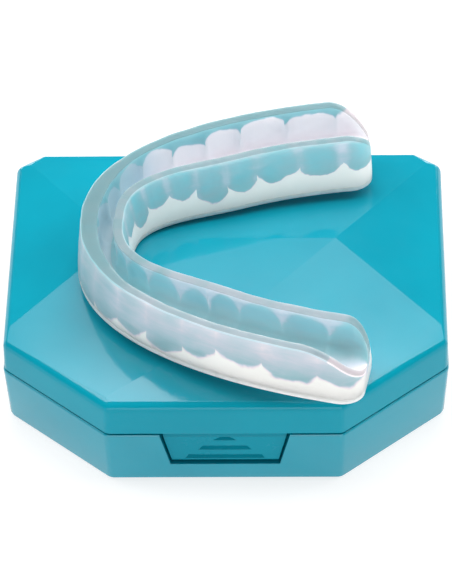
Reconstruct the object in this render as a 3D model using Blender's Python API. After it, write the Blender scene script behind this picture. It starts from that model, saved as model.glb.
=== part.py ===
"""Mouthguard lying on its closed, hinged storage case.

World frame: metres, +Z up, the case stands on z = 0, its latch faces -Y and its hinge is at +Y.
The case is an octagonal base tray and a faceted lid on two pinned hinges, with a pinned latch tab
hung from the lid. The mouthguard is a soft U-shaped channel on a firmer bite layer.
"""
import math

import bmesh
import bpy
from mathutils import Matrix, Vector

MM = 0.001
GAP = 0.3 * MM

# Case plan, measured at the seam where the case is widest.
CASE_HALF_X = 41.0 * MM
CASE_HALF_Y = 34.7 * MM
FRONT_CHAMFER_X = 19.6 * MM
FRONT_CHAMFER_Y = 17.0 * MM
BACK_CHAMFER_X = 5.1 * MM
BACK_CHAMFER_Y = 3.7 * MM
CORNER_RADIUS = 2.0 * MM
INNER_CORNER_RADIUS = 1.2 * MM
CORNER_STEPS = 6
SHARP_ANGLE = math.radians(28.0)

# Base tray heights and insets from the seam plan.
BASE_RIM_Z = 12.0 * MM
BASE_DRAFT = 0.65 * MM
BASE_FOOT_RADIUS = 0.8 * MM
BASE_WALL = 2.4 * MM
BASE_FLOOR = 1.8 * MM
LIP_HEIGHT = 1.2 * MM
LIP_INSET = 1.7 * MM
LIP_CLEAR_Z = BASE_RIM_Z + 2 * LIP_HEIGHT

# Lid heights. The top is a low gem of flat facets round a level triangle.
LID_RIM_Z = BASE_RIM_Z + GAP
LID_EDGE_Z = 19.2 * MM
LID_TOP_Z = 22.2 * MM
LID_EDGE_INSET = 0.76 * MM
LID_DRAFT = 0.012
CAVITY_DRAFT = 0.11
LID_WALL = 1.3 * MM
LID_ROOF = 1.6 * MM
LID_SEAM_STEP = 0.2 * MM
OVERSHOOT = 2.0 * MM
SHOULDER_RADIUS = 2.2 * MM
SHOULDER_FOOT_Z = 17.4 * MM
SHOULDER_STEPS = 14
SHOULDER_END = math.radians(80.0)
SHOULDER_CORNER = 0.4 * MM
GEM_SIDE_X = 20.3 * MM
GEM_SIDE_Y = 6.8 * MM
GEM_FRONT_Y = -17.3 * MM

# Hinges at the back.
HINGE_Y = CASE_HALF_Y + 2.7 * MM
HINGE_Z = BASE_RIM_Z + GAP / 2
HINGE_X = 20.0 * MM
KNUCKLE_RADIUS = 2.1 * MM
KNUCKLE_HALF = 3.0 * MM
KNUCKLE_LENGTH = 3.0 * MM
KNUCKLE_ROOT = 4.6 * MM
KNUCKLE_EMBED = 1.0 * MM
KNUCKLE_ARC_END = math.radians(172.0)
KNUCKLE_ARC_STEPS = 18
PIN_RADIUS = 1.0 * MM
PIN_BORE = 1.15 * MM
PIN_CHAMFER_SHARE = 0.25
ROUND_STEPS = 24

# Latch tab, its recess in the base and its ears on the lid.
LATCH_Y = -CASE_HALF_Y + 2.3 * MM
LATCH_Z = BASE_RIM_Z + 1.8 * MM
LATCH_BARREL = 1.25 * MM
LATCH_BORE = 0.87 * MM
LATCH_PIN_RADIUS = 0.73 * MM
TAB_FRONT_Y = LATCH_Y - 1.25 * MM
TAB_NECK_Y = LATCH_Y - 0.85 * MM
TAB_BACK_Y = LATCH_Y + 0.15 * MM
TAB_TOP_Z = BASE_RIM_Z + 0.1 * MM
TAB_SLOPE_Z = BASE_RIM_Z - 1.4 * MM
TAB_BOTTOM_Z = 4.5 * MM
TAB_TOP_HALF = 11.5 * MM
TAB_BOTTOM_HALF = 9.7 * MM
TAB_EDGE = 0.2 * MM
TAB_GROOVE_DEPTH = 0.35 * MM
NECK_SIDE_INSET = 0.1 * MM
NECK_EMBED = 0.05 * MM
RECESS_GAP = 0.35 * MM
RECESS_FLOOR_Y = TAB_BACK_Y + 0.7 * MM
PAD_HALF_X = 14.0 * MM
PAD_FRONT_Y = -CASE_HALF_Y + 0.6 * BASE_WALL
PAD_BACK_Y = RECESS_FLOOR_Y + 1.7 * MM
PAD_TOP_Z = BASE_RIM_Z - 0.4 * MM
CATCH_HALF_X = 7.0 * MM
CATCH_Z = 7.2 * MM
CATCH_HEIGHT = 0.35 * MM
CATCH_HALF_Z = 0.7 * MM
NOTCH_HALF_X = 15.5 * MM
NOTCH_FRONT_Y = -CASE_HALF_Y + 0.6 * LIP_INSET
NOTCH_FLOOR_Z = BASE_RIM_Z - 0.1 * MM
EAR_INNER_X = 12.0 * MM
EAR_OUTER_X = 13.9 * MM
EAR_ROOT_Y = -CASE_HALF_Y + 0.6 * LID_WALL
RELIEF_GAP = 0.05 * MM
LATCH_PIN_INSET = 0.1 * MM
LIP_SKIN = 0.75 * MM
GRIP_DEPTH = 0.5 * MM
GRIP_FLUSH = 0.03 * MM
# Each grip scoop in millimetres: depth under the seam, height, half width at its top and at its foot.
GRIP_STEPS = ((1.4, 0.9, 0.85, 2.15), (3.6, 1.1, 3.9, 4.85), (5.9, 1.0, 6.6, 7.2))
GRIP_STEEP_SHARE = 0.55

# Mouthguard arch: outer lower edge as a super-ellipse, apex towards -X, open towards +X.
ARCH_APEX = Vector((-27.3 * MM, 0.5 * MM, LID_TOP_Z + GAP))
ARCH_TURN = math.radians(-3.0)
ARCH_LENGTH_AXIS = 76.0 * MM
ARCH_HALF_AXIS = 37.6 * MM
ARCH_POWER = 2.2
ARM_NEAR = 53.8 * MM
ARM_FAR = 51.8 * MM
ARCH_STATIONS = 56
FRONT_WIDTH = 10.0 * MM
ARM_WIDTH = 14.0 * MM
GUARD_HEIGHT = 11.5 * MM
INNER_RIM_HEIGHT = 11.0 * MM
BITE_LAYER = 1.2 * MM
FLOOR_HEIGHT = 4.2 * MM
RIM_WIDTH = 1.8 * MM
FRONT_RIM_EXTRA = 1.2 * MM
END_DROP_NEAR = 12.0 * MM
END_DROP_FAR = 8.0 * MM
END_DROP_INNER = 5.6 * MM
END_HEIGHT = 5.2 * MM
END_RADIUS = 4.5 * MM
END_WALL = 5.5 * MM
END_NARROWING = 0.8
END_LIP = 0.4 * MM
WIDTH_START = 8.0 * MM
WIDTH_REACH = 32.0 * MM
LEAN_REACH = 30.0 * MM
OUTER_LEAN = (0.9 * MM, 0.5 * MM)
INNER_LEAN = (1.3 * MM, 2.0 * MM)
RIM_START = 6.0 * MM
RIM_REACH = 18.0 * MM
BITE_SOFTNESS = 0.4 * MM
# Points up a wall's outside and over its rim, then down its channel side: share of the lean, share
# of the wall's width, and share of the height over the wall's foot or over the channel's floor.
OUTSIDE_POINTS = (
    (0.0, 0.0, 0.0),
    (0.12, 0.0, 0.25),
    (0.5, 0.0, 0.62),
    (0.95, 0.0, 0.93),
    (1.0, 0.35, 1.0),
    (1.0, 0.75, 0.985),
    (1.0, 1.0, 0.9),
)
CHANNEL_POINTS = (
    (0.65, 1.15, 0.5),
    (0.35, 1.35, 0.14),
    (0.3, 1.85, 0.0),
)


def clear_scene():
    for obj in list(bpy.data.objects):
        bpy.data.objects.remove(obj, do_unlink=True)


def material(name, colour, roughness, transmission=0.0):
    mat = bpy.data.materials.new(name)
    mat.use_nodes = True
    shader = mat.node_tree.nodes["Principled BSDF"]
    shader.inputs["Base Color"].default_value = (*colour, 1.0)
    shader.inputs["Roughness"].default_value = roughness
    shader.inputs["Metallic"].default_value = 0.0
    shader.inputs["Transmission Weight"].default_value = transmission
    return mat


def add_object(name, bm, mat, origin=Vector((0.0, 0.0, 0.0))):
    """Turn a world-space bmesh into an object whose origin sits at the given point."""
    bmesh.ops.recalc_face_normals(bm, faces=bm.faces)
    bmesh.ops.translate(bm, verts=bm.verts, vec=-origin)
    mesh = bpy.data.meshes.new(name)
    bm.to_mesh(mesh)
    bm.free()
    mesh.materials.append(mat)
    mesh.shade_smooth()
    mesh.set_sharp_from_angle(angle=SHARP_ANGLE)
    obj = bpy.data.objects.new(name, mesh)
    obj.location = origin
    bpy.context.collection.objects.link(obj)
    return obj


def add_tool(name, bm, mat):
    """A helper solid that only shapes another object."""
    tool = add_object(name, bm, mat)
    tool.hide_render = True
    tool.display_type = "WIRE"
    return tool


def combine(obj, tool, operation):
    mod = obj.modifiers.new(tool.name, "BOOLEAN")
    mod.operation = operation
    mod.object = tool


def hang_from(child, parent):
    child.parent = parent
    child.location = child.location - parent.location


# Plan outlines

def case_corners(inset):
    """The eight plan corners, front left first and anticlockwise, each wall moved in by inset."""
    x, y = CASE_HALF_X, CASE_HALF_Y
    seam = [
        (-x + FRONT_CHAMFER_X, -y),
        (x - FRONT_CHAMFER_X, -y),
        (x, -y + FRONT_CHAMFER_Y),
        (x, y - BACK_CHAMFER_Y),
        (x - BACK_CHAMFER_X, y),
        (-x + BACK_CHAMFER_X, y),
        (-x, y - BACK_CHAMFER_Y),
        (-x, -y + FRONT_CHAMFER_Y),
    ]
    points = [Vector(p) for p in seam]
    moved = []
    for i, point in enumerate(points):
        into = (point - points[i - 1]).normalized()
        out = (points[(i + 1) % len(points)] - point).normalized()
        normal_in = Vector((-into.y, into.x))
        normal_out = Vector((-out.y, out.x))
        bisector = (normal_in + normal_out).normalized()
        moved.append(point + bisector * (inset / bisector.dot(normal_in)))
    return moved


def rounded_ring(inset, radius, z):
    """A closed ring of points at height z with every plan corner turned into an arc."""
    corners = case_corners(inset)
    ring = []
    for i, corner in enumerate(corners):
        back = (corners[i - 1] - corner).normalized()
        ahead = (corners[(i + 1) % len(corners)] - corner).normalized()
        half = back.angle(ahead) / 2
        centre = corner + (back + ahead).normalized() * (radius / math.sin(half))
        start = corner + back * (radius / math.tan(half)) - centre
        turn = math.pi - 2 * half
        for k in range(CORNER_STEPS + 1):
            spoke = start.copy()
            spoke.rotate(Matrix.Rotation(turn * k / CORNER_STEPS, 2))
            ring.append(Vector((centre.x + spoke.x, centre.y + spoke.y, z)))
    return ring


# Solid builders

def loft(rings):
    """A closed solid through rings of equal length, capped at both ends."""
    bm = bmesh.new()
    loops = [[bm.verts.new(point) for point in ring] for ring in rings]
    count = len(loops[0])
    for lower, upper in zip(loops, loops[1:]):
        for i in range(count):
            j = (i + 1) % count
            bm.faces.new((lower[i], lower[j], upper[j], upper[i]))
    bm.faces.new(list(reversed(loops[0])))
    bm.faces.new(loops[-1])
    return bm


def prism_x(profile, x0, x1):
    """A (y, z) profile run along X."""
    return loft([[Vector((x, y, z)) for y, z in profile] for x in (x0, x1)])


def prism_y(profile, y0, y1):
    """An (x, z) profile run along Y."""
    return loft([[Vector((x, y, z)) for x, z in profile] for y in (y0, y1)])


def merged(parts):
    """Several closed solids, none touching another, in one bmesh."""
    whole = bmesh.new()
    for part in parts:
        mesh = bpy.data.meshes.new("part")
        bmesh.ops.recalc_face_normals(part, faces=part.faces)
        part.to_mesh(mesh)
        part.free()
        whole.from_mesh(mesh)
        bpy.data.meshes.remove(mesh)
    return whole


def circle(y, z, radius, first=0.0, last=2 * math.pi, steps=ROUND_STEPS):
    """Points of an arc in the YZ plane; a full circle leaves out its repeated end."""
    full = last - first >= 2 * math.pi
    count = steps if full else steps + 1
    points = []
    for i in range(count):
        angle = first + (last - first) * i / steps
        points.append((y + radius * math.cos(angle), z + radius * math.sin(angle)))
    return points


def box(x0, x1, y0, y1, z0, z1):
    return prism_x([(y0, z0), (y1, z0), (y1, z1), (y0, z1)], x0, x1)


# Case base

def base_body():
    """Tray walls, floor and the locating lip as one loft from the foot round to the floor."""
    foot = BASE_DRAFT + BASE_FOOT_RADIUS
    return loft([
        rounded_ring(foot, CORNER_RADIUS, 0.0),
        rounded_ring(BASE_DRAFT + 0.25 * BASE_FOOT_RADIUS, CORNER_RADIUS, 0.3 * BASE_FOOT_RADIUS),
        rounded_ring(BASE_DRAFT, CORNER_RADIUS, BASE_FOOT_RADIUS),
        rounded_ring(0.0, CORNER_RADIUS, BASE_RIM_Z - GAP),
        rounded_ring(0.5 * GAP, CORNER_RADIUS, BASE_RIM_Z),
        rounded_ring(LIP_INSET, INNER_CORNER_RADIUS, BASE_RIM_Z),
        rounded_ring(LIP_INSET + 0.5 * GAP, INNER_CORNER_RADIUS, BASE_RIM_Z + LIP_HEIGHT),
        rounded_ring(BASE_WALL, INNER_CORNER_RADIUS, BASE_RIM_Z + LIP_HEIGHT),
        rounded_ring(BASE_WALL, INNER_CORNER_RADIUS, BASE_FLOOR + BASE_FOOT_RADIUS),
        rounded_ring(BASE_WALL + BASE_FOOT_RADIUS, INNER_CORNER_RADIUS, BASE_FLOOR),
    ])


def knuckle(x0, x1, side):
    """One hinge knuckle with its root in the back wall; side is 1 below the seam, -1 above."""
    wall = CASE_HALF_Y - KNUCKLE_EMBED
    arc = circle(HINGE_Y, 0.0, KNUCKLE_RADIUS, -math.pi / 2, KNUCKLE_ARC_END, KNUCKLE_ARC_STEPS)
    seam = GAP / 2
    profile = arc + [(wall, -seam), (wall, -KNUCKLE_ROOT)]
    return prism_x([(y, HINGE_Z + side * z) for y, z in profile], x0, x1)


def hinge_spans(centre):
    """X spans of the two base knuckles and the lid knuckle of one hinge."""
    outer = KNUCKLE_HALF + GAP
    far = outer + KNUCKLE_LENGTH
    base = [(centre - far, centre - outer), (centre + outer, centre + far)]
    return base, (centre - KNUCKLE_HALF, centre + KNUCKLE_HALF)


def hinge_bores(reach):
    profile = circle(HINGE_Y, HINGE_Z, PIN_BORE)
    return merged([prism_x(profile, c - reach, c + reach) for c in (-HINGE_X, HINGE_X)])


def tab_half(z):
    """Half width of the latch tab at height z."""
    slope = (TAB_TOP_HALF - TAB_BOTTOM_HALF) / (TAB_TOP_Z - TAB_BOTTOM_Z)
    return TAB_BOTTOM_HALF + slope * (z - TAB_BOTTOM_Z)


def latch_recess():
    """The opening round the tab, its sides parallel to the tab's."""
    low = TAB_BOTTOM_Z - RECESS_GAP
    high = LIP_CLEAR_Z
    low_half = tab_half(low) + RECESS_GAP
    high_half = tab_half(high) + RECESS_GAP
    profile = [(-low_half, low), (low_half, low), (high_half, high), (-high_half, high)]
    return prism_y(profile, -CASE_HALF_Y - BASE_WALL, RECESS_FLOOR_Y)


def catch_ridge():
    """Low rounded ridge on the recess floor that the tab's groove closes over."""
    profile = [
        (RECESS_FLOOR_Y + CATCH_HEIGHT, CATCH_Z - CATCH_HALF_Z),
        (RECESS_FLOOR_Y + CATCH_HEIGHT, CATCH_Z + CATCH_HALF_Z),
        (RECESS_FLOOR_Y - CATCH_HEIGHT, CATCH_Z + CATCH_HALF_Z / 3),
        (RECESS_FLOOR_Y - CATCH_HEIGHT, CATCH_Z - CATCH_HALF_Z / 3),
    ]
    return prism_x(profile, -CATCH_HALF_X, CATCH_HALF_X)


def build_base(plastic):
    base = add_object("base_shell", base_body(), plastic)
    spans = hinge_spans(-HINGE_X)[0] + hinge_spans(HINGE_X)[0]
    knuckles = merged([knuckle(x0, x1, 1) for x0, x1 in spans])
    combine(base, add_tool("base_knuckles", knuckles, plastic), "UNION")
    pad = box(-PAD_HALF_X, PAD_HALF_X, PAD_FRONT_Y, PAD_BACK_Y, BASE_FLOOR / 2, PAD_TOP_Z)
    combine(base, add_tool("base_latch_pad", pad, plastic), "UNION")
    notch = box(-NOTCH_HALF_X, NOTCH_HALF_X, NOTCH_FRONT_Y, PAD_BACK_Y, NOTCH_FLOOR_Z, LIP_CLEAR_Z)
    combine(base, add_tool("base_lip_notch", notch, plastic), "DIFFERENCE")
    combine(base, add_tool("base_latch_recess", latch_recess(), plastic), "DIFFERENCE")
    combine(base, add_tool("base_catch_ridge", catch_ridge(), plastic), "UNION")
    bores = hinge_bores(KNUCKLE_HALF + 2 * KNUCKLE_LENGTH)
    combine(base, add_tool("base_bores", bores, plastic), "DIFFERENCE")
    return base


# Case lid

def gem_planes(drop):
    """Point and outward normal of every roof facet, each moved inwards by drop."""
    edge = LID_EDGE_Z
    top = LID_TOP_Z
    corners = case_corners(LID_EDGE_INSET)
    right = Vector((GEM_SIDE_X, GEM_SIDE_Y, top))
    front = Vector((0.0, GEM_FRONT_Y, top))
    chamfer = (corners[1] + corners[2]) / 2
    planes = [(Vector((0.0, 0.0, top)), Vector((0.0, 0.0, 1.0)))]
    front_run = GEM_FRONT_Y - corners[0].y
    back_run = corners[4].y - GEM_SIDE_Y
    side_run = corners[2].x - GEM_SIDE_X
    rise = top - edge
    planes.append((front, Vector((0.0, -rise, front_run)).normalized()))
    planes.append((right, Vector((0.0, rise, back_run)).normalized()))
    slant = (right - front).cross(Vector((chamfer.x, chamfer.y, edge)) - front).normalized()
    if slant.z < 0:
        slant = -slant
    for sign in (-1, 1):
        apex = Vector((sign * right.x, right.y, top))
        planes.append((apex, Vector((sign * rise, 0.0, side_run)).normalized()))
        planes.append((apex, Vector((sign * slant.x, slant.y, slant.z))))
    return [(point - normal * drop, normal) for point, normal in planes]


def gem(rings, drop):
    """Closed solid with the given wall rings and a roof of flat facets."""
    bm = loft(rings)
    for point, normal in gem_planes(drop):
        parts = bm.verts[:] + bm.edges[:] + bm.faces[:]
        cut = bmesh.ops.bisect_plane(bm, geom=parts, plane_co=point, plane_no=normal, clear_outer=True)
        rim = [item for item in cut["geom_cut"] if isinstance(item, bmesh.types.BMEdge)]
        bmesh.ops.edgeloop_fill(bm, edges=rim)
    bmesh.ops.recalc_face_normals(bm, faces=bm.faces)
    return bm


def lid_outer_rings():
    """Drafted wall, then a shoulder that curves in until the roof facets cut it off."""
    foot = LID_SEAM_STEP + LID_DRAFT * (SHOULDER_FOOT_Z - LID_RIM_Z)
    rings = [rounded_ring(LID_SEAM_STEP, CORNER_RADIUS, LID_RIM_Z)]
    start = math.atan(LID_DRAFT)
    inset = foot
    for k in range(SHOULDER_STEPS + 1):
        share = k / SHOULDER_STEPS
        lean = start + (SHOULDER_END - start) * share
        inset = foot + SHOULDER_RADIUS * (math.cos(start) - math.cos(lean))
        z = SHOULDER_FOOT_Z + SHOULDER_RADIUS * (math.sin(lean) - math.sin(start))
        rings.append(rounded_ring(inset, CORNER_RADIUS + (SHOULDER_CORNER - CORNER_RADIUS) * share, z))
    rings.append(rounded_ring(inset, SHOULDER_CORNER, LID_TOP_Z + OVERSHOOT))
    return rings


def lid_inner_rings():
    """The cavity's walls, which lean inwards with height."""
    low = LID_RIM_Z - OVERSHOOT
    high = LID_TOP_Z + OVERSHOOT
    return [
        rounded_ring(LID_WALL + CAVITY_DRAFT * (low - LID_RIM_Z), INNER_CORNER_RADIUS, low),
        rounded_ring(LID_WALL + CAVITY_DRAFT * (high - LID_RIM_Z), INNER_CORNER_RADIUS, high),
    ]


def latch_ears():
    """Two ears under the lid's front wall that hold the latch pin."""
    back = LATCH_Y + LATCH_BARREL + GAP
    low = LID_RIM_Z + GAP
    high = LID_EDGE_Z - LID_ROOF
    profile = [
        (EAR_ROOT_Y, low),
        (back, low),
        (back, LATCH_Z + LATCH_BARREL),
        (EAR_ROOT_Y + LID_WALL, high),
        (EAR_ROOT_Y, high),
    ]
    spans = ((-EAR_OUTER_X, -EAR_INNER_X), (EAR_INNER_X, EAR_OUTER_X))
    return merged([prism_x(profile, x0, x1) for x0, x1 in spans])


def build_lid(plastic):
    outside = gem(lid_outer_rings(), 0.0)
    axis = Vector((0.0, HINGE_Y, HINGE_Z))
    lid = add_object("lid_shell", outside, plastic, axis)
    cavity = gem(lid_inner_rings(), LID_ROOF)
    combine(lid, add_tool("lid_cavity", cavity, plastic), "DIFFERENCE")
    spans = [hinge_spans(c)[1] for c in (-HINGE_X, HINGE_X)]
    knuckles = merged([knuckle(x0, x1, -1) for x0, x1 in spans])
    combine(lid, add_tool("lid_knuckles", knuckles, plastic), "UNION")
    combine(lid, add_tool("lid_latch_ears", latch_ears(), plastic), "UNION")
    relief_x = EAR_INNER_X - RELIEF_GAP
    relief_y = -CASE_HALF_Y + LIP_SKIN
    relief_top = LATCH_Z + LATCH_BARREL + GAP
    relief = box(-relief_x, relief_x, relief_y, LATCH_Y, LID_RIM_Z - MM, relief_top)
    combine(lid, add_tool("lid_latch_relief", relief, plastic), "DIFFERENCE")
    combine(lid, add_tool("lid_bores", hinge_bores(KNUCKLE_HALF + MM), plastic), "DIFFERENCE")
    latch_bore = prism_x(circle(LATCH_Y, LATCH_Z, LATCH_BORE), -EAR_OUTER_X - MM, EAR_OUTER_X + MM)
    combine(lid, add_tool("lid_latch_bore", latch_bore, plastic), "DIFFERENCE")
    return lid


# Pins

def pin(radius, y, z, x0, x1):
    """Round pin along X with a small chamfer at each end."""
    chamfer = PIN_CHAMFER_SHARE * radius
    stations = (
        (x0, radius - chamfer),
        (x0 + chamfer, radius),
        (x1 - chamfer, radius),
        (x1, radius - chamfer),
    )
    return loft([[Vector((x, py, pz)) for py, pz in circle(y, z, r)] for x, r in stations])


def build_hinge_pins(plastic):
    reach = KNUCKLE_HALF + GAP + KNUCKLE_LENGTH
    for name, centre in (("hinge_pin_left", -HINGE_X), ("hinge_pin_right", HINGE_X)):
        bm = pin(PIN_RADIUS, HINGE_Y, HINGE_Z, centre - reach, centre + reach)
        add_object(name, bm, plastic, Vector((centre, HINGE_Y, HINGE_Z)))


# Latch tab

def tab_row(y, top_z, bottom_z):
    """The plate's outline at one depth."""
    top = tab_half(top_z)
    bottom = tab_half(bottom_z)
    return [
        Vector((-bottom, y, bottom_z)),
        Vector((bottom, y, bottom_z)),
        Vector((top, y, top_z)),
        Vector((-top, y, top_z)),
    ]


def tab_plate():
    """The tapered plate: wide at the top, its front face leaning back near the pivot."""
    return loft([
        tab_row(TAB_FRONT_Y, TAB_SLOPE_Z, TAB_BOTTOM_Z + TAB_EDGE),
        tab_row(TAB_FRONT_Y + TAB_EDGE, TAB_SLOPE_Z + 2 * TAB_EDGE, TAB_BOTTOM_Z),
        tab_row(TAB_NECK_Y, TAB_TOP_Z, TAB_BOTTOM_Z),
        tab_row(TAB_BACK_Y, TAB_TOP_Z, TAB_BOTTOM_Z),
    ])


def tab_neck():
    """Pivot barrel and the neck that joins it to the plate."""
    half = TAB_TOP_HALF - NECK_SIDE_INSET
    neck_front = TAB_NECK_Y + NECK_EMBED
    neck_back = TAB_BACK_Y - NECK_EMBED
    start = math.asin((neck_back - LATCH_Y) / LATCH_BARREL) - math.pi / 2
    end = math.pi + math.acos((LATCH_Y - neck_front) / LATCH_BARREL)
    barrel = circle(LATCH_Y, LATCH_Z, LATCH_BARREL, start, end)
    low = TAB_TOP_Z - MM
    return prism_x(barrel + [(neck_front, low), (neck_back, low)], -half, half)


def grip_cuts():
    """Three scoops, slices of one upward triangle: a steep back under the upper edge, then a ramp out."""
    front = TAB_FRONT_Y - MM
    deep = TAB_FRONT_Y + GRIP_DEPTH
    cuts = []
    for below, height, top_half, bottom_half in GRIP_STEPS:
        top = BASE_RIM_Z - below * MM
        bottom = top - height * MM
        foot = top - GRIP_STEEP_SHARE * height * MM
        foot_half = top_half + (bottom_half - top_half) * GRIP_STEEP_SHARE
        outline = [
            (top_half, front, top),
            (top_half, deep, top),
            (foot_half, deep, foot),
            (bottom_half, TAB_FRONT_Y + GRIP_FLUSH, bottom),
            (bottom_half, front, bottom),
        ]
        rows = [[Vector((side * half * MM, y, z)) for half, y, z in outline] for side in (-1, 1)]
        cuts.append(loft(rows))
    return merged(cuts)


def catch_groove():
    depth = TAB_GROOVE_DEPTH
    profile = [
        (TAB_BACK_Y + MM, CATCH_Z - 2 * CATCH_HALF_Z),
        (TAB_BACK_Y + MM, CATCH_Z + 2 * CATCH_HALF_Z),
        (TAB_BACK_Y, CATCH_Z + 2 * CATCH_HALF_Z),
        (TAB_BACK_Y - depth, CATCH_Z + CATCH_HALF_Z),
        (TAB_BACK_Y - depth, CATCH_Z - CATCH_HALF_Z),
        (TAB_BACK_Y, CATCH_Z - 2 * CATCH_HALF_Z),
    ]
    half = CATCH_HALF_X + 2 * GAP
    return prism_x(profile, -half, half)


def build_latch(plastic, lid):
    axis = Vector((0.0, LATCH_Y, LATCH_Z))
    tab = add_object("latch_tab", tab_plate(), plastic, axis)
    combine(tab, add_tool("tab_neck_tool", tab_neck(), plastic), "UNION")
    combine(tab, add_tool("tab_grip_tool", grip_cuts(), plastic), "DIFFERENCE")
    combine(tab, add_tool("tab_groove_tool", catch_groove(), plastic), "DIFFERENCE")
    bore = prism_x(circle(LATCH_Y, LATCH_Z, LATCH_BORE), -EAR_OUTER_X, EAR_OUTER_X)
    combine(tab, add_tool("tab_bore_tool", bore, plastic), "DIFFERENCE")
    hang_from(tab, lid)
    reach = EAR_OUTER_X - LATCH_PIN_INSET
    rod = pin(LATCH_PIN_RADIUS, LATCH_Y, LATCH_Z, -reach, reach)
    hang_from(add_object("latch_pin", rod, plastic, axis), lid)


# Mouthguard

def smooth(value):
    """Smooth step from 0 to 1."""
    t = min(max(value, 0.0), 1.0)
    return t * t * (3 - 2 * t)


def arch_curve(side, arm, steps=240):
    """Plan points of the outer lower edge from the apex to one arm's end."""
    last = math.acos(1 - arm / ARCH_LENGTH_AXIS)
    points = []
    for i in range(steps + 1):
        angle = last * i / steps
        along = ARCH_LENGTH_AXIS * (1 - math.cos(angle))
        across = ARCH_HALF_AXIS * math.sin(angle) ** (2 / ARCH_POWER)
        points.append(Vector((along, side * across)))
    return points


def arch_stations():
    """Evenly spaced (point, inward normal, distance from apex, distance from the end)."""
    near = arch_curve(-1, ARM_NEAR)
    far = arch_curve(1, ARM_FAR)
    line = list(reversed(near)) + far[1:]
    apex_index = len(near) - 1
    lengths = [0.0]
    for a, b in zip(line, line[1:]):
        lengths.append(lengths[-1] + (b - a).length)
    total = lengths[-1]
    apex = lengths[apex_index]
    ends = [0.0, 0.1, 0.25, 0.45, 0.7, 1.0]
    inner = END_RADIUS
    body = [inner + (total - 2 * inner) * i / ARCH_STATIONS for i in range(1, ARCH_STATIONS)]
    marks = [e * inner for e in ends] + body + [total - e * inner for e in reversed(ends)]
    stations = []
    index = 0
    for mark in marks:
        while index < len(lengths) - 2 and lengths[index + 1] < mark:
            index += 1
        span = lengths[index + 1] - lengths[index]
        point = line[index].lerp(line[index + 1], (mark - lengths[index]) / span)
        before = line[max(index - 3, 0)]
        after = line[min(index + 4, len(line) - 1)]
        tangent = (after - before).normalized()
        normal = Vector((tangent.y, -tangent.x))
        stations.append((point, normal, abs(mark - apex), min(mark, total - mark)))
    return stations


def end_inset(to_end):
    """How far the plan edges draw in as an arm's end is rounded."""
    if to_end >= END_RADIUS:
        return 0.0
    reach = (END_RADIUS - to_end) / END_RADIUS
    return END_NARROWING * END_RADIUS * (1 - math.sqrt(max(1 - reach * reach, 0.0)))


def graded(front, back, start, reach, from_apex):
    """A size that eases from its value at the incisors to its value along the arms."""
    return front + (back - front) * smooth((from_apex - start) / reach)


def channel_width(from_apex):
    return graded(FRONT_WIDTH, ARM_WIDTH, WIDTH_START, WIDTH_REACH, from_apex)


def outer_lean(from_apex):
    return graded(*OUTER_LEAN, 0.0, LEAN_REACH, from_apex)


def inner_lean(from_apex):
    return graded(*INNER_LEAN, 0.0, LEAN_REACH, from_apex)


def place(point, normal, inward, z):
    flat = point + normal * inward
    spot = Matrix.Rotation(ARCH_TURN, 2) @ flat
    return ARCH_APEX + Vector((spot.x, spot.y, z))


def outer_rim_height(side, to_end):
    """The outer rim slopes down to an arm's end; side is the arm's side of the arch."""
    drop = END_DROP_NEAR if side < 0 else END_DROP_FAR
    part = math.sin(math.pi / 2 * min(to_end / drop, 1.0))
    return END_HEIGHT + (GUARD_HEIGHT - END_HEIGHT) * part


def inner_rim_height(to_end):
    """The inner rim rounds down to an arm's end like a quarter ellipse."""
    short = max(1 - to_end / END_DROP_INNER, 0.0)
    return END_HEIGHT + (INNER_RIM_HEIGHT - END_HEIGHT) * math.sqrt(1 - short * short)


def wall_points(start, sign, lean, wall, top, floor):
    """(inward, z) points of one wall, from its outer foot over the rim to the channel's floor."""
    foot = BITE_LAYER + GAP
    points = []
    for low, shares in ((foot, OUTSIDE_POINTS), (floor, CHANNEL_POINTS)):
        for lean_share, wall_share, part in shares:
            inward = start + sign * (lean_share * lean + wall_share * wall)
            points.append((inward, low + (top - low) * part))
    return points


def liner_section(point, normal, from_apex, to_end):
    """One cross section of the soft channel, outer side first."""
    inset = end_inset(to_end)
    width = channel_width(from_apex) - inset
    top_out = outer_rim_height(point.y, to_end)
    top_in = inner_rim_height(to_end)
    closing = 1 - smooth(to_end / END_WALL)
    floor = FLOOR_HEIGHT + (END_HEIGHT - END_LIP - FLOOR_HEIGHT) * closing
    wall = RIM_WIDTH + graded(FRONT_RIM_EXTRA, 0.0, RIM_START, RIM_REACH, from_apex)
    outer = wall_points(inset, 1, outer_lean(from_apex), wall, top_out, floor)
    inner = wall_points(width, -1, inner_lean(from_apex), RIM_WIDTH, top_in, floor)
    return [place(point, normal, t, z) for t, z in outer + list(reversed(inner))]


def bite_section(point, normal, from_apex, to_end):
    """One cross section of the flat bite layer with softened lower edges."""
    inset = end_inset(to_end)
    width = channel_width(from_apex) - inset
    outline = [
        (inset + BITE_SOFTNESS, 0.0),
        (inset, BITE_SOFTNESS),
        (inset, BITE_LAYER),
        (width, BITE_LAYER),
        (width, BITE_SOFTNESS),
        (width - BITE_SOFTNESS, 0.0),
    ]
    return [place(point, normal, t, z) for t, z in outline]


def build_guard(liner_mat, bite_mat):
    stations = arch_stations()
    layer = loft([bite_section(*station) for station in stations])
    add_object("guard_bite_layer", layer, bite_mat, ARCH_APEX)
    liner = loft([liner_section(*station) for station in stations])
    add_object("guard_liner", liner, liner_mat, ARCH_APEX)


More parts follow.
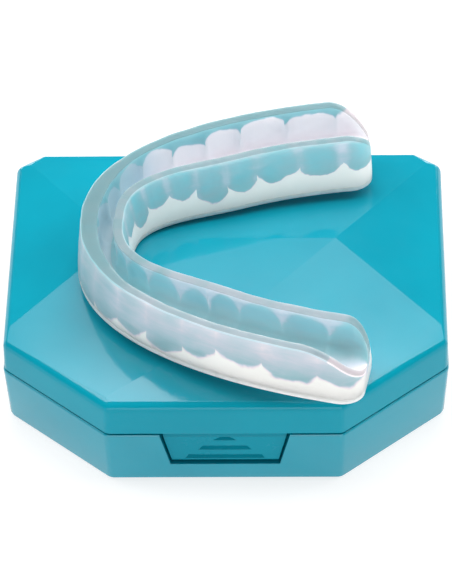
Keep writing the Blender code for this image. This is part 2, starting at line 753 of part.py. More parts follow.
def main():
    clear_scene()
    plastic = material("case_teal_plastic", (0.0, 0.38, 0.48), 0.22)
    latch_plastic = material("latch_teal_plastic", (0.0, 0.34, 0.44), 0.3)
    pin_plastic = material("pin_teal_plastic", (0.0, 0.3, 0.4), 0.35)
    liner_mat = material("guard_clear_liner", (0.8, 0.84, 0.86), 0.3, 0.5)
    bite_mat = material("guard_milky_layer", (0.86, 0.87, 0.86), 0.35)
    build_base(plastic)
    lid = build_lid(plastic)
    build_latch(latch_plastic, lid)
    build_hinge_pins(pin_plastic)
    build_guard(liner_mat, bite_mat)
    bpy.context.view_layer.update()


main()
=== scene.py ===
"""Studio scene of a soft mouthguard lying on its teal plastic case."""
import math
from types import SimpleNamespace

import bmesh
import bpy
from mathutils import Matrix, Vector, noise


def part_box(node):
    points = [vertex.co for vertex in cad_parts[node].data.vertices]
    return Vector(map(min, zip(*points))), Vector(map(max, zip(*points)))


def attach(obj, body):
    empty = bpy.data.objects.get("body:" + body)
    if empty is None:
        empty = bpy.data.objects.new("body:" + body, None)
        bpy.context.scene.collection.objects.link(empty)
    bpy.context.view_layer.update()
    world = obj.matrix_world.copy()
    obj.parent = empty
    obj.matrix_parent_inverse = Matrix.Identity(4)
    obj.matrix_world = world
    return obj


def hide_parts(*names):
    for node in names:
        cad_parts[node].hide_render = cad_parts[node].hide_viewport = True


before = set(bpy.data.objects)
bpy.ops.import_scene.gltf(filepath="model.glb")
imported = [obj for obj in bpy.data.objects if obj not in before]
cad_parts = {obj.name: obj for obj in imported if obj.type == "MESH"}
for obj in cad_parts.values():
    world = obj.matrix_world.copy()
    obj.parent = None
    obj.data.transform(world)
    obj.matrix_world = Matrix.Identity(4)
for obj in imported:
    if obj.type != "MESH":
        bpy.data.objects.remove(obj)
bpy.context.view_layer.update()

MM = 0.001

# Camera: seen from slightly right of the front and well above.
CAMERA_ELEVATION = math.radians(43.5)
CAMERA_AZIMUTH = math.radians(1.8)
CAMERA_ROLL = math.radians(-1.48)
CAMERA_DISTANCE = 0.7098
CAMERA_TARGET = Vector((-0.00015, 0.0, 0.0148))
SENSOR_HEIGHT = 36.0
LENS = 234.24657534

# Mouthguard arch, as the case's top carries it.
GUARD_LOW, GUARD_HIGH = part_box("guard_bite_layer")
LINER_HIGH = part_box("guard_liner")[1]
ARCH_APEX = Vector((-27.3 * MM, 0.5 * MM, GUARD_LOW.z))
ARCH_TURN = math.radians(-3.0)
ARCH_LENGTH_AXIS = 76.0 * MM
ARCH_HALF_AXIS = 37.6 * MM
ARCH_POWER = 2.2
ARM_NEAR = 53.8 * MM
ARM_FAR = 51.8 * MM
CURVE_STEPS = 600
STATIONS = 230
TANGENT_SPAN = 8
FRONT_WIDTH = 10.0 * MM
ARM_WIDTH = 14.0 * MM
WIDTH_START = 8.0 * MM
WIDTH_REACH = 32.0 * MM
OUTER_LEAN = (0.9 * MM, 0.5 * MM)
INNER_LEAN = (1.3 * MM, 2.0 * MM)
LEAN_REACH = 30.0 * MM
GUARD_HEIGHT = LINER_HIGH.z - GUARD_LOW.z
INNER_RIM_HEIGHT = 11.0 * MM
BITE_LAYER = GUARD_HIGH.z - GUARD_LOW.z
LAYER_GROOVE = 0.05 * MM
FLOOR_HEIGHT = 4.2 * MM
RIM_WIDTH = 1.8 * MM
FRONT_RIM_EXTRA = 1.2 * MM
RIM_START = 6.0 * MM
RIM_REACH = 18.0 * MM
END_DROP_NEAR = 12.0 * MM
END_DROP_FAR = 8.0 * MM
END_DROP_INNER = 5.6 * MM
END_HEIGHT = 5.2 * MM
END_RADIUS = 4.5 * MM
END_WALL = 5.5 * MM
END_NARROWING = 0.8
END_LIP = 0.4 * MM
END_MARKS = (0.0, 0.02, 0.06, 0.12, 0.2, 0.3, 0.42, 0.56, 0.72, 0.86, 1.0)
RIM_EDGE = 0.25 * MM
FOOT_EDGE = 0.25 * MM
FOOT_TUCK = 0.1 * MM
SOLE_EDGE = 0.5 * MM
SOLE_EDGE_STEPS = 4
SPLINE_STEPS = 4
GUARD_SHARP_ANGLE = math.radians(60.0)

# Tooth impressions, counted from the midline, and unevenness of plastic pressed by hand.
TOOTH_EDGES = [edge * MM for edge in (0.0, 8.0, 14.5, 21.5, 28.8, 36.0, 43.0, 52.5, 62.0, 72.0)]
TOOTH_DEPTH = 0.9 * MM
TOOTH_LEVEL = 0.45
BITE_DEPTH = 0.7 * MM
BITE_LEVEL = 0.3
HAND_WAVE = 0.14 * MM
WAVE_LENGTHS = (5.0 * MM, 1.7 * MM)
FINE_WAVE_SHARE = 0.4
WAVE_START = 3.0 * MM

# Points of a wall's profile: those from RIM_POINT on are the channel side, and RIM_TOP is the rim's top.
RIM_POINT = 5
RIM_TOP = (6, 7)

# Looks of the soft plastic, with heights and distances along the arch in millimetres. A tuple of
# four is a range of distance, or of lobe value, and then the two results that it is eased between.
# Painted shade: how much darker the guard's rim tops are coloured.
PAINTED_RIM_SHADE = 0.44
PASSED_LIGHT = 0.16
NEAR_ARM = (-30.0, -12.0, 1.0, 0.0)
CREAM_OUTSIDE = (12.0, 45.0, 0.6, 4.2)
LIFT_OUTSIDE = (8.0, 30.0, 0.39, 0.53)
LUMP_WHITE = (16.0, 30.0, 0.5, 0.8)
TONGUE_BANDS = (0.1, 0.7, 0.24, 0.44)
FROST_LOW = 0.35
FROST_RISE = 4.5
LUMP_TOP = 10.3
CREAM_TONGUE = 4.5
HOLLOW_TOP = 10.0
CLEAR_CHANNEL = 0.22
OVER_HOLLOW = 0.40
HOLLOW_CLEAR = 0.28
LINER_COLOURS = (
    (0.0, (0.23, 0.60, 0.66, 1.0)),
    (1.0, (0.90, 0.90, 0.86, 1.0)),
    (0.35, (0.36, 0.57, 0.62, 1.0)),
    (0.6, (0.60, 0.65, 0.72, 1.0)),
    (0.8, (0.84, 0.76, 0.80, 1.0)),
)
LINER_SCATTER = 4.5 * MM
SOLE_COLOURS = ((0.3, (0.84, 0.85, 0.84, 1.0)), (0.7, (0.92, 0.92, 0.90, 1.0)))
SOLE_SCATTER = 3.0 * MM

# Looks of the case: the two colours each plastic drifts between, and its range of roughness.
CASE_TEAL = ((0.0, 0.30, 0.41), (0.0, 0.33, 0.445))
# Painted shade: the latch's teal is a darker copy of the case teal, for the shade of the recess it sits in.
SHADED_LATCH_TEAL = ((0.0, 0.265, 0.365), (0.0, 0.295, 0.4))
PIN_TEAL = ((0.0, 0.25, 0.36), (0.0, 0.28, 0.39))
CASE_ROUGHNESS = (0.08, 0.13)
LATCH_ROUGHNESS = (0.2, 0.3)
PIN_ROUGHNESS = (0.3, 0.42)
FULL_GLOSS = 0.5
LID_WALL_GLOSS = 0.2
LATCH_GLOSS = 0.15
ROOF_FADE = (18.6 * MM, 19.4 * MM)
PLASTIC_IOR = 1.52
EDGE_SOFTNESS = 0.18 * MM
SOFT_ANGLE = math.radians(21.0)
FLAT_NORMAL_Z = 0.965
WELD_DISTANCE = 0.002 * MM

# Stage and lights: name, place, aim, width, depth and radiance of each softbox.
WORLD_STRENGTH = 0.15
FLOOR_HALF = 3.0
FLOOR_GREYS = (0.36, 0.37)
FLOOR_GLOW = 2.0
HIGH = 0.62
SOFTBOXES = (
    ("overhead", (0.0, 0.2, HIGH), (0.0, 0.2, 0.0), 0.44, 0.5, 4.4),
    ("overhead_edge", (0.0, 0.55, HIGH), (0.0, 0.55, 0.0), 0.4, 0.2, 1.6),
    ("overhead_fade", (0.0, 0.8, HIGH), (0.0, 0.8, 0.0), 0.4, 0.3, 0.45),
    ("side_fill_left", (-0.52, 0.1, HIGH), (0.0, 0.0, 0.01), 0.4, 0.45, 4.0),
    ("side_fill_right", (0.52, 0.1, HIGH), (0.0, 0.0, 0.01), 0.4, 0.45, 4.0),
    ("front_low", (0.0, -0.9, 0.17), (0.0, 0.0, 0.05), 1.4, 0.3, 2.6),
    ("back_low", (0.0, 0.9, 0.17), (0.0, 0.0, 0.05), 1.4, 0.3, 4.0),
)


# Small helpers

def smooth(value):
    t = min(max(value, 0.0), 1.0)
    return t * t * (3 - 2 * t)


def graded(front, back, start, reach, from_apex):
    """A size that eases from its value at the incisors to its value along the arms."""
    return front + (back - front) * smooth((from_apex - start) / reach)


def node(tree, kind, **sockets):
    """A shader node with its unlinked inputs set by name."""
    made = tree.nodes.new(kind)
    for name, value in sockets.items():
        made.inputs[name.replace("_", " ")].default_value = value
    return made


def link(tree, source, target):
    tree.links.new(source, target)


def new_material(name):
    mat = bpy.data.materials.new(name)
    mat.use_nodes = True
    tree = mat.node_tree
    shader = tree.nodes["Principled BSDF"]
    return mat, tree, shader


def ramp(tree, factor, stops):
    """A colour ramp: the first two stops are its ends, any others lie between."""
    made = tree.nodes.new("ShaderNodeValToRGB")
    elements = made.color_ramp.elements
    for element, (position, colour) in zip(list(elements), stops):
        element.position = position
        element.color = colour
    for position, colour in stops[2:]:
        elements.new(position).color = colour
    link(tree, factor, made.inputs["Fac"])
    return made.outputs["Color"]


def grey(value):
    return (value, value, value, 1.0)


def math_node(tree, operation, a, b=None, clamp=False):
    """A math node's result; a and b are sockets or plain numbers."""
    made = tree.nodes.new("ShaderNodeMath")
    made.operation = operation
    made.use_clamp = clamp
    for slot, value in zip(made.inputs, (a, b)):
        if value is None:
            continue
        if isinstance(value, (int, float)):
            slot.default_value = value
        else:
            link(tree, value, slot)
    return made.outputs["Value"]


def noise_at(tree, scale, detail=3.0, roughness=0.5):
    """Noise in object coordinates, with scale in cycles per metre."""
    coords = tree.nodes.new("ShaderNodeTexCoord")
    made = node(tree, "ShaderNodeTexNoise", Scale=scale, Detail=detail, Roughness=roughness)
    link(tree, coords.outputs["Object"], made.inputs["Vector"])
    return made.outputs["Fac"]


def bump(tree, height, strength, distance, edge_radius=0.0):
    """A bump normal, with mesh edges rounded in the shading when edge_radius is set."""
    made = node(tree, "ShaderNodeBump", Strength=strength, Distance=distance)
    link(tree, height, made.inputs["Height"])
    if edge_radius:
        rounded = node(tree, "ShaderNodeBevel", Radius=edge_radius)
        rounded.samples = 6
        link(tree, rounded.outputs["Normal"], made.inputs["Normal"])
    return made.outputs["Normal"]


# Materials

def teal_plastic(name, colours, roughness, gloss=FULL_GLOSS):
    """Moulded plastic: faint colour drift, uneven polish and a fine texture."""
    mat, tree, shader = new_material(name)
    deep, bright = colours
    rough_low, rough_high = roughness
    drift = noise_at(tree, 45.0, 4.0)
    colour = ramp(tree, drift, ((0.35, (*deep, 1.0)), (0.65, (*bright, 1.0))))
    link(tree, colour, shader.inputs["Base Color"])
    polish = noise_at(tree, 260.0, 4.0, 0.6)
    uneven = ramp(tree, polish, ((0.3, grey(rough_low)), (0.75, grey(rough_high))))
    link(tree, uneven, shader.inputs["Roughness"])
    grain = noise_at(tree, 2600.0, 2.0)
    link(tree, bump(tree, grain, 0.05, 0.05 * MM, EDGE_SOFTNESS), shader.inputs["Normal"])
    shader.inputs["IOR"].default_value = PLASTIC_IOR
    shader.inputs["Specular IOR Level"].default_value = gloss
    return mat


def lid_plastic():
    """The case's plastic, with the lid's upright walls duller than its polished roof."""
    mat = teal_plastic("case_lid_teal", CASE_TEAL, CASE_ROUGHNESS)
    tree = mat.node_tree
    coords = tree.nodes.new("ShaderNodeTexCoord")
    parts = tree.nodes.new("ShaderNodeSeparateXYZ")
    link(tree, coords.outputs["Object"], parts.inputs["Vector"])
    gloss = between(tree, parts.outputs["Z"], *ROOF_FADE, LID_WALL_GLOSS, FULL_GLOSS)
    link(tree, gloss, tree.nodes["Principled BSDF"].inputs["Specular IOR Level"])
    return mat


def split(tree, attribute):
    """The three parts of a vector attribute."""
    source = tree.nodes.new("ShaderNodeAttribute")
    source.attribute_name = attribute
    parts = tree.nodes.new("ShaderNodeSeparateXYZ")
    link(tree, source.outputs["Vector"], parts.inputs["Vector"])
    return parts.outputs["X"], parts.outputs["Y"], parts.outputs["Z"]


def between(tree, value, low, high, out_low, out_high):
    """The value eased from the range low..high to the range out_low..out_high."""
    made = tree.nodes.new("ShaderNodeMapRange")
    made.interpolation_type = "SMOOTHSTEP"
    made.inputs["From Min"].default_value = low
    made.inputs["From Max"].default_value = high
    made.inputs["To Min"].default_value = out_low
    made.inputs["To Max"].default_value = out_high
    link(tree, value, made.inputs["Value"])
    return made.outputs["Result"]


def tooth_lobe(tree, phase):
    """0 at the middle of a tooth, 1 at the gap between two teeth, round like a tooth's outline."""
    part = math_node(tree, "FRACT", phase)
    across = math_node(tree, "MULTIPLY", math_node(tree, "SUBTRACT", part, 0.5), 2.0)
    square = math_node(tree, "MULTIPLY", across, across)
    round_part = math_node(tree, "SQRT", math_node(tree, "SUBTRACT", 1.0, square, True))
    arc = math_node(tree, "SUBTRACT", 1.0, round_part)
    return times(tree, add(tree, arc, square), 0.5)


def below(tree, height, edge, softness):
    """1 where height is under edge, 0 over it, in millimetres, with a soft border."""
    gap = math_node(tree, "SUBTRACT", edge, height)
    return between(tree, gap, -softness, softness, 0.0, 1.0)


def add(tree, a, b):
    return math_node(tree, "ADD", a, b)


def minus(tree, a, b):
    return math_node(tree, "SUBTRACT", a, b)


def times(tree, a, b):
    return math_node(tree, "MULTIPLY", a, b)


def streaks_along(tree, signed, height):
    """Faint streaks that run along the walls, about -0.1 to 0.1."""
    place_on = tree.nodes.new("ShaderNodeCombineXYZ")
    link(tree, times(tree, signed, 0.16), place_on.inputs["X"])
    link(tree, times(tree, height, 0.75), place_on.inputs["Y"])
    made = node(tree, "ShaderNodeTexNoise", Scale=1.0, Detail=4.0, Roughness=0.6, Distortion=0.8)
    link(tree, place_on.outputs["Vector"], made.inputs["Vector"])
    return times(tree, math_node(tree, "SUBTRACT", made.outputs["Fac"], 0.5), 0.36)


def shaded(tree, colour, factor):
    """A colour made darker by a factor."""
    made = tree.nodes.new("ShaderNodeVectorMath")
    made.operation = "SCALE"
    link(tree, colour, made.inputs["Vector"])
    link(tree, factor, made.inputs["Scale"])
    return made.outputs["Vector"]


def guard_fields(tree):
    """Sockets that the guard's zones share, made from its arch attribute and from noise."""
    phase, height, signed = split(tree, "arch")
    wobble = minus(tree, noise_at(tree, 210.0, 3.0), 0.5)
    slow = minus(tree, noise_at(tree, 90.0, 2.0), 0.5)
    shifted = add(tree, phase, times(tree, slow, 0.35))
    own = node(tree, "ShaderNodeTexWhiteNoise")
    own.noise_dimensions = "1D"
    link(tree, math_node(tree, "FLOOR", shifted), own.inputs["W"])
    uneven = times(tree, minus(tree, own.outputs["Value"], 0.5), 2.2)
    return SimpleNamespace(
        height=height,
        along=math_node(tree, "ABSOLUTE", signed),
        near=between(tree, signed, *NEAR_ARM),
        wobble=wobble,
        lobe=tooth_lobe(tree, shifted),
        sway=add(tree, times(tree, wobble, 3.6), uneven),
        streaks=streaks_along(tree, signed, height),
    )


def white_outside(tree, on):
    """Cream at the foot with tooth-shaped cusps, and frost that grows milkier upwards."""
    border = add(tree, between(tree, on.along, *CREAM_OUTSIDE), times(tree, on.lobe, 1.9))
    cream = below(tree, on.height, add(tree, border, on.sway), 0.9)
    lifted = minus(tree, between(tree, on.along, *LIFT_OUTSIDE), FROST_LOW)
    rising = between(tree, minus(tree, on.height, border), 0.0, FROST_RISE, 0.0, 1.0)
    frost = add(tree, FROST_LOW, times(tree, rising, lifted))
    frost = add(tree, frost, times(tree, on.lobe, 0.15))
    frost = add(tree, frost, add(tree, times(tree, on.wobble, 0.2), on.streaks))
    return math_node(tree, "MAXIMUM", cream, frost)


def white_channel(tree, on):
    """Lavender lumps on the outer wall's channel side, under a clearer rim."""
    top = minus(tree, LUMP_TOP, times(tree, on.lobe, 1.8))
    lump = below(tree, on.height, add(tree, top, on.sway), 0.5)
    milky = times(tree, lump, between(tree, on.along, *LUMP_WHITE))
    clear = add(tree, add(tree, times(tree, on.near, 0.26), CLEAR_CHANNEL), on.streaks)
    return math_node(tree, "MAXIMUM", milky, clear)


def white_tongue(tree, on):
    """Cream at the foot of the inner wall and upright bands of teal over it."""
    border = add(tree, add(tree, times(tree, on.lobe, 1.9), CREAM_TONGUE), on.sway)
    cream = below(tree, on.height, border, 0.4)
    bands = add(tree, between(tree, on.lobe, *TONGUE_BANDS), times(tree, on.wobble, 0.6))
    return math_node(tree, "MAXIMUM", cream, add(tree, bands, on.streaks))


def white_inner(tree, on):
    """Clear tooth hollows in the inner wall's channel side, milkier between and above them."""
    top = add(tree, minus(tree, HOLLOW_TOP, times(tree, on.lobe, 4.2)), on.sway)
    hollow = below(tree, on.height, top, 1.1)
    over = add(tree, OVER_HOLLOW, times(tree, on.near, 0.12))
    return add(tree, minus(tree, over, times(tree, hollow, HOLLOW_CLEAR)), on.streaks)


def guard_whiteness(tree):
    """How milky the plastic is, 0 to 1, by wall, height and tooth."""
    outside, channel, tongue = split(tree, "wall")
    on = guard_fields(tree)
    rest = math_node(tree, "SUBTRACT", 1.0, add(tree, add(tree, outside, channel), tongue), True)
    total = times(tree, outside, white_outside(tree, on))
    total = add(tree, total, times(tree, channel, white_channel(tree, on)))
    total = add(tree, total, times(tree, tongue, white_tongue(tree, on)))
    return math_node(tree, "ADD", total, times(tree, rest, white_inner(tree, on)), True)


def soft_plastic(shader, depth):
    """Light spreads inside the plastic about this far."""
    shader.subsurface_method = "RANDOM_WALK"
    shader.inputs["Subsurface Weight"].default_value = 0.9
    shader.inputs["Subsurface Radius"].default_value = (1.0, 1.0, 1.0)
    shader.inputs["Subsurface Scale"].default_value = depth
    shader.inputs["IOR"].default_value = 1.4


def liner_material():
    """Translucent soft plastic: teal rims with painted shade on their tops, frosted walls, lavender lumps
    and a milky foot.

    Its inner walls give off a weak light, which stands for light that the plastic passes on.
    """
    mat, tree, shader = new_material("guard_translucent")
    white = guard_whiteness(tree)
    rim = tree.nodes.new("ShaderNodeAttribute")
    rim.attribute_name = "rim"
    # Painted shade: the rim's top points are coloured darker, and so glow less.
    shade = minus(tree, 1.0, times(tree, rim.outputs["Fac"], PAINTED_RIM_SHADE))
    colour = shaded(tree, ramp(tree, white, LINER_COLOURS), shade)
    link(tree, colour, shader.inputs["Base Color"])
    inside = math_node(tree, "SUBTRACT", 1.0, split(tree, "wall")[0], True)
    link(tree, shaded(tree, colour, inside), shader.inputs["Emission Color"])
    shader.inputs["Emission Strength"].default_value = PASSED_LIGHT
    clear = math_node(tree, "SUBTRACT", 0.42, times(tree, white, 0.5), True)
    link(tree, clear, shader.inputs["Transmission Weight"])
    cloud = noise_at(tree, 520.0, 3.0)
    frosting = ramp(tree, cloud, ((0.3, grey(0.32)), (0.8, grey(0.46))))
    link(tree, frosting, shader.inputs["Roughness"])
    soft_plastic(shader, LINER_SCATTER)
    ripple = noise_at(tree, 420.0, 2.0)
    link(tree, bump(tree, ripple, 0.2, 0.3 * MM), shader.inputs["Normal"])
    return mat


def bite_material():
    """Milky, slightly warm soft plastic."""
    mat, tree, shader = new_material("guard_milky")
    cloud = noise_at(tree, 300.0, 4.0)
    link(tree, ramp(tree, cloud, SOLE_COLOURS), shader.inputs["Base Color"])
    link(tree, ramp(tree, cloud, ((0.2, grey(0.22)), (0.8, grey(0.36)))), shader.inputs["Roughness"])
    soft_plastic(shader, SOLE_SCATTER)
    link(tree, bump(tree, noise_at(tree, 700.0, 2.0), 0.2, 0.2 * MM), shader.inputs["Normal"])
    return mat


def floor_material():
    """Matt grey that also gives off light, so the floor shows white round the object."""
    mat, tree, shader = new_material("studio_floor")
    shade = noise_at(tree, 3.0, 2.0)
    colour = ramp(tree, shade, ((0.3, grey(FLOOR_GREYS[0])), (0.7, grey(FLOOR_GREYS[1]))))
    link(tree, colour, shader.inputs["Base Color"])
    link(tree, colour, shader.inputs["Emission Color"])
    shader.inputs["Emission Strength"].default_value = FLOOR_GLOW
    shader.inputs["Roughness"].default_value = 0.9
    shader.inputs["Specular IOR Level"].default_value = 0.0
    return mat


# Mouthguard

def arch_curve(side, arm):
    """Plan points of the outer lower edge from the apex to one arm's end."""
    last = math.acos(1 - arm / ARCH_LENGTH_AXIS)
    points = []
    for i in range(CURVE_STEPS + 1):
        angle = last * i / CURVE_STEPS
        along = ARCH_LENGTH_AXIS * (1 - math.cos(angle))
        across = ARCH_HALF_AXIS * math.sin(angle) ** (2 / ARCH_POWER)
        points.append(Vector((along, side * across)))
    return points


def arch_stations():
    """(point, inward normal, distance from apex, distance from the end) along the arch."""
    near = arch_curve(-1, ARM_NEAR)
    far = arch_curve(1, ARM_FAR)
    line = list(reversed(near)) + far[1:]
    apex_index = len(near) - 1
    lengths = [0.0]
    for a, b in zip(line, line[1:]):
        lengths.append(lengths[-1] + (b - a).length)
    total = lengths[-1]
    apex = lengths[apex_index]
    middle = total - 2 * END_RADIUS
    marks = [part * END_RADIUS for part in END_MARKS]
    marks += [END_RADIUS + middle * i / STATIONS for i in range(1, STATIONS)]
    marks += [total - part * END_RADIUS for part in reversed(END_MARKS)]
    stations = []
    index = 0
    for mark in marks:
        while index < len(lengths) - 2 and lengths[index + 1] < mark:
            index += 1
        span = lengths[index + 1] - lengths[index]
        point = line[index].lerp(line[index + 1], (mark - lengths[index]) / span)
        before = line[max(index - TANGENT_SPAN, 0)]
        after = line[min(index + TANGENT_SPAN + 1, len(line) - 1)]
        tangent = (after - before).normalized()
        normal = Vector((tangent.y, -tangent.x))
        stations.append((point, normal, abs(mark - apex), min(mark, total - mark)))
    return stations


def end_inset(to_end):
    """How far the plan edges draw in as an arm's end is rounded."""
    if to_end >= END_RADIUS:
        return 0.0
    reach = (END_RADIUS - to_end) / END_RADIUS
    return END_NARROWING * END_RADIUS * (1 - math.sqrt(max(1 - reach * reach, 0.0)))


def channel_width(from_apex):
    return graded(FRONT_WIDTH, ARM_WIDTH, WIDTH_START, WIDTH_REACH, from_apex)


def outer_lean(from_apex):
    return graded(*OUTER_LEAN, 0.0, LEAN_REACH, from_apex)


def inner_lean(from_apex):
    return graded(*INNER_LEAN, 0.0, LEAN_REACH, from_apex)


def tooth_phase(from_apex):
    """Which tooth this is, counted from the midline, with the part of its width passed."""
    for i, (near, far) in enumerate(zip(TOOTH_EDGES, TOOTH_EDGES[1:])):
        if from_apex < far:
            return i + (from_apex - near) / (far - near)
    return len(TOOTH_EDGES) - 1.0


def tooth_round(from_apex):
    """1 at the middle of a tooth and 0 at the gap between two teeth."""
    across = 2 * (tooth_phase(from_apex) % 1.0) - 1
    return math.sqrt(max(1 - across * across, 0.0))


def place(point, normal, inward, z):
    """World point at a distance inward from the arch's outer edge and z over its foot."""
    flat = point + normal * inward
    spot = Matrix.Rotation(ARCH_TURN, 2) @ flat
    return ARCH_APEX + Vector((spot.x, spot.y, z))


def outer_rim_height(side, to_end):
    """The outer rim slopes down to an arm's end; side is the arm's side of the arch."""
    drop = END_DROP_NEAR if side < 0 else END_DROP_FAR
    part = math.sin(math.pi / 2 * min(to_end / drop, 1.0))
    return END_HEIGHT + (GUARD_HEIGHT - END_HEIGHT) * part


def inner_rim_height(to_end):
    """The inner rim rounds down to an arm's end like a quarter ellipse."""
    short = max(1 - to_end / END_DROP_INNER, 0.0)
    return END_HEIGHT + (INNER_RIM_HEIGHT - END_HEIGHT) * math.sqrt(1 - short * short)


def spline(points):
    """Catmull-Rom points through (t, z) points, each with the number of the point it follows."""
    padded = [points[0]] + list(points) + [points[-1]]
    result = []
    for i in range(1, len(padded) - 2):
        p0, p1, p2, p3 = padded[i - 1:i + 3]
        for k in range(SPLINE_STEPS):
            u = k / SPLINE_STEPS
            value = []
            for a, b, c, d in zip(p0, p1, p2, p3):
                bend = (2 * a - 5 * b + 4 * c - d) * u * u + (3 * b - a - 3 * c + d) * u ** 3
                value.append(0.5 * (2 * b + (c - a) * u + bend))
            result.append((value[0], value[1], i - 1))
    result.append((points[-1][0], points[-1][1], len(points) - 1))
    return result


def wall_profile(start, lean, wall, low, top, floor, sign, dents):
    """(t, z) points up a wall's outside, over its rim and down its channel side to the floor."""
    dent, bite = dents

    def at(part, z):
        return (start + sign * part, z)

    tall = top - low
    depth = top - floor
    return [
        at(FOOT_TUCK, low),
        at(0.0, low + FOOT_EDGE),
        at(0.12 * lean, low + 0.25 * tall),
        at(0.5 * lean, low + 0.62 * tall),
        at(0.9 * lean, low + 0.92 * tall),
        at(lean + 0.1 * RIM_EDGE, top - RIM_EDGE),
        at(lean + RIM_EDGE, top),
        at(lean + wall - RIM_EDGE, top),
        at(lean + wall - 0.1 * RIM_EDGE, top - RIM_EDGE),
        at(0.9 * lean + 1.06 * wall - 0.5 * dent, floor + 0.82 * depth),
        at(0.65 * lean + 1.18 * wall - dent, floor + 0.5 * depth),
        at(0.4 * lean + 1.32 * wall - dent, floor + 0.18 * depth),
        at(0.3 * lean + 1.6 * wall - 0.5 * dent, floor + 0.03 * depth - 0.5 * bite),
        at(0.3 * lean + 2.1 * wall, floor - bite),
    ]


def liner_section(side, from_apex, to_end):
    """(inward, z, wall weights, rim weight) points of the channel section, outer wall first."""
    inset = end_inset(to_end)
    width = channel_width(from_apex) - inset
    top_out = outer_rim_height(side, to_end)
    top_in = inner_rim_height(to_end)
    low = BITE_LAYER + LAYER_GROOVE
    closing = 1 - smooth(to_end / END_WALL)
    floor = FLOOR_HEIGHT + (END_HEIGHT - END_LIP - FLOOR_HEIGHT) * closing
    tooth = tooth_round(from_apex)
    open_part = 1 - closing
    dents = (TOOTH_DEPTH * (tooth - TOOTH_LEVEL) * open_part, BITE_DEPTH * (tooth - BITE_LEVEL) * open_part)
    wall = RIM_WIDTH + graded(FRONT_RIM_EXTRA, 0.0, RIM_START, RIM_REACH, from_apex)
    outer = spline(wall_profile(inset, outer_lean(from_apex), wall, low, top_out, floor, 1, dents))
    inner = spline(wall_profile(width, inner_lean(from_apex), RIM_WIDTH, low, top_in, floor, -1, dents))
    points = []
    walls = (
        (outer, (1.0, 0.0, 0.0), (0.0, 1.0, 0.0)),
        (reversed(inner), (0.0, 0.0, 1.0), (0.0, 0.0, 0.0)),
    )
    for profile, outer_side, channel_side in walls:
        for t, z, number in profile:
            weights = outer_side if number < RIM_POINT else channel_side
            points.append((t, z, weights, float(number in RIM_TOP)))
    return points


def bite_section(_side, from_apex, to_end):
    """(inward, z, wall weights, rim weight) points of the flat layer with a rounded lower edge."""
    inset = end_inset(to_end)
    width = channel_width(from_apex) - inset
    outline = []
    for k in range(SOLE_EDGE_STEPS + 1):
        angle = math.pi / 2 * k / SOLE_EDGE_STEPS
        outline.append((SOLE_EDGE * (1 - math.sin(angle)), SOLE_EDGE * (1 - math.cos(angle))))
    outline.append((0.0, BITE_LAYER - 0.15 * MM))
    outline.append((0.1 * MM, BITE_LAYER - 0.02 * MM))
    points = [(inset + t, z) for t, z in outline] + [(width - t, z) for t, z in reversed(outline)]
    return [(t, z, (0.0, 0.0, 0.0), 0.0) for t, z in points]


def hand_wave(point):
    """Small unevenness of soft plastic pressed by hand, along the section's width."""
    long, short = (noise.noise(point / length) for length in WAVE_LENGTHS)
    return HAND_WAVE * (long + FINE_WAVE_SHARE * short)


def section_loops(bm, section):
    """A loop of points for each station of the arch; a point carries tooth, height, distance and wall."""
    arch_layer = bm.verts.layers.float_vector.new("arch")
    wall_layer = bm.verts.layers.float_vector.new("wall")
    rim_layer = bm.verts.layers.float.new("rim")
    loops = []
    for point, normal, from_apex, to_end in arch_stations():
        loop = []
        signed = math.copysign(from_apex, point.y)
        for t, z, wall, rim in section(point.y, from_apex, to_end):
            spot = place(point, normal, t, z)
            part = min(max((z - BITE_LAYER) / WAVE_START, 0.0), 1.0)
            vert = bm.verts.new(place(point, normal, t + part * hand_wave(spot), z))
            vert[arch_layer] = Vector((tooth_phase(from_apex), z / MM, signed / MM))
            vert[wall_layer] = Vector(wall)
            vert[rim_layer] = rim
            loop.append(vert)
        loops.append(loop)
    return loops


def lofted_piece(name, section, material):
    """A closed tube of sections along the arch."""
    bm = bmesh.new()
    loops = section_loops(bm, section)
    count = len(loops[0])
    for a, b in zip(loops, loops[1:]):
        for i in range(count):
            j = (i + 1) % count
            bm.faces.new((a[i], a[j], b[j], b[i]))
    bm.faces.new(list(reversed(loops[0])))
    bm.faces.new(loops[-1])
    bmesh.ops.recalc_face_normals(bm, faces=bm.faces)
    mesh = bpy.data.meshes.new(name)
    bm.to_mesh(mesh)
    bm.free()
    mesh.materials.append(material)
    mesh.shade_smooth()
    mesh.set_sharp_from_angle(angle=GUARD_SHARP_ANGLE)
    obj = bpy.data.objects.new(name, mesh)
    bpy.context.scene.collection.objects.link(obj)
    return obj


def build_guard():
    liner = lofted_piece("guard_channel", liner_section, liner_material())
    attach(liner, "guard")
    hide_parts("guard_liner")
    layer = lofted_piece("guard_bite_sole", bite_section, bite_material())
    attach(layer, "guard")
    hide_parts("guard_bite_layer")


# Case

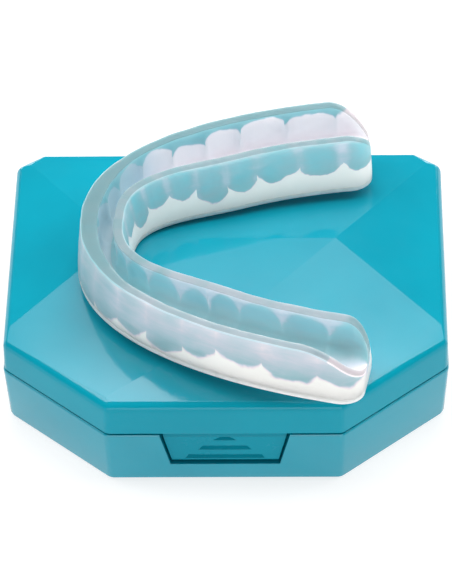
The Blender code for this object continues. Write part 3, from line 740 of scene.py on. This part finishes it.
def smooth_shading_group():
    """Geometry nodes that weld a mesh and shade it smooth, but not over edges or on level facets."""
    group = bpy.data.node_groups.new("smooth_by_angle", "GeometryNodeTree")
    group.interface.new_socket("Geometry", in_out="INPUT", socket_type="NodeSocketGeometry")
    group.interface.new_socket("Geometry", in_out="OUTPUT", socket_type="NodeSocketGeometry")
    start = group.nodes.new("NodeGroupInput")
    weld = group.nodes.new("GeometryNodeMergeByDistance")
    weld.inputs["Distance"].default_value = WELD_DISTANCE
    normals = group.nodes.new("GeometryNodeSetMeshNormal")
    angle = group.nodes.new("GeometryNodeInputMeshEdgeAngle")
    facing = group.nodes.new("GeometryNodeInputNormal")
    parts = group.nodes.new("ShaderNodeSeparateXYZ")
    end = group.nodes.new("NodeGroupOutput")
    link(group, start.outputs[0], weld.inputs["Geometry"])
    link(group, weld.outputs[0], normals.inputs["Mesh"])
    link(group, facing.outputs["Normal"], parts.inputs["Vector"])
    limits = (("Edge Sharpness", angle.outputs["Unsigned Angle"], SOFT_ANGLE),
              ("Face Sharpness", parts.outputs["Z"], FLAT_NORMAL_Z))
    for target, value, limit in limits:
        over = group.nodes.new("FunctionNodeCompare")
        over.data_type = "FLOAT"
        over.operation = "GREATER_THAN"
        link(group, value, over.inputs[0])
        over.inputs[1].default_value = limit
        link(group, over.outputs[0], normals.inputs[target])
    link(group, normals.outputs[0], end.inputs[0])
    return group


def dress_case():
    """Better plastics on the CAD nodes, and smooth shading; their shapes stay as they are."""
    base = teal_plastic("case_base_teal", CASE_TEAL, CASE_ROUGHNESS)
    # Painted shade: the latch tab gets the darker copy of the case teal.
    shaded_latch = teal_plastic("latch_teal", SHADED_LATCH_TEAL, LATCH_ROUGHNESS, LATCH_GLOSS)
    pins = teal_plastic("pin_teal", PIN_TEAL, PIN_ROUGHNESS)
    looks = {
        "base_shell": base,
        "lid_shell": lid_plastic(),
        "latch_tab": shaded_latch,
        "latch_pin": pins,
        "hinge_pin_left": pins,
        "hinge_pin_right": pins,
    }
    group = smooth_shading_group()
    for name, mat in looks.items():
        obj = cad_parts[name]
        for slot in obj.material_slots:
            slot.material = mat
        obj.modifiers.new("smooth_by_angle", "NODES").node_group = group


# Stage

def build_floor():
    bm = bmesh.new()
    bmesh.ops.create_grid(bm, x_segments=8, y_segments=8, size=FLOOR_HALF)
    mesh = bpy.data.meshes.new("floor")
    bm.to_mesh(mesh)
    bm.free()
    mesh.materials.append(floor_material())
    floor = bpy.data.objects.new("floor", mesh)
    bpy.context.scene.collection.objects.link(floor)


def softbox(name, place_at, aim, width, depth, radiance):
    """A rectangular light of even radiance; its power is radiance x pi x area."""
    data = bpy.data.lights.new(name, "AREA")
    data.shape = "RECTANGLE"
    data.size = width
    data.size_y = depth
    data.energy = radiance * math.pi * width * depth
    light = bpy.data.objects.new(name, data)
    light.location = place_at
    light.rotation_euler = (Vector(aim) - Vector(place_at)).to_track_quat("-Z", "Y").to_euler()
    bpy.context.scene.collection.objects.link(light)


def build_lights():
    world = bpy.data.worlds.new("studio_world")
    world.use_nodes = True
    background = world.node_tree.nodes["Background"]
    background.inputs["Color"].default_value = (1.0, 1.0, 1.0, 1.0)
    background.inputs["Strength"].default_value = WORLD_STRENGTH
    bpy.context.scene.world = world
    for box in SOFTBOXES:
        softbox(*box)


def build_camera():
    data = bpy.data.cameras.new("camera")
    data.sensor_fit = "VERTICAL"
    data.sensor_height = SENSOR_HEIGHT
    data.lens = LENS
    camera = bpy.data.objects.new("camera", data)
    back = Vector((
        math.sin(CAMERA_AZIMUTH) * math.cos(CAMERA_ELEVATION),
        -math.cos(CAMERA_AZIMUTH) * math.cos(CAMERA_ELEVATION),
        math.sin(CAMERA_ELEVATION),
    ))
    right = Vector((0.0, 0.0, 1.0)).cross(back).normalized()
    up = back.cross(right)
    turn = Matrix.Rotation(CAMERA_ROLL, 3, back)
    axes = Matrix((turn @ right, turn @ up, back)).transposed()
    spot = CAMERA_TARGET + back * CAMERA_DISTANCE
    camera.matrix_world = Matrix.LocRotScale(spot, axes.to_quaternion(), None)
    bpy.context.scene.collection.objects.link(camera)
    bpy.context.scene.camera = camera


dress_case()
build_guard()
build_floor()
build_lights()
build_camera()
bpy.context.scene.view_settings.view_transform = "Standard"
bpy.context.view_layer.update()
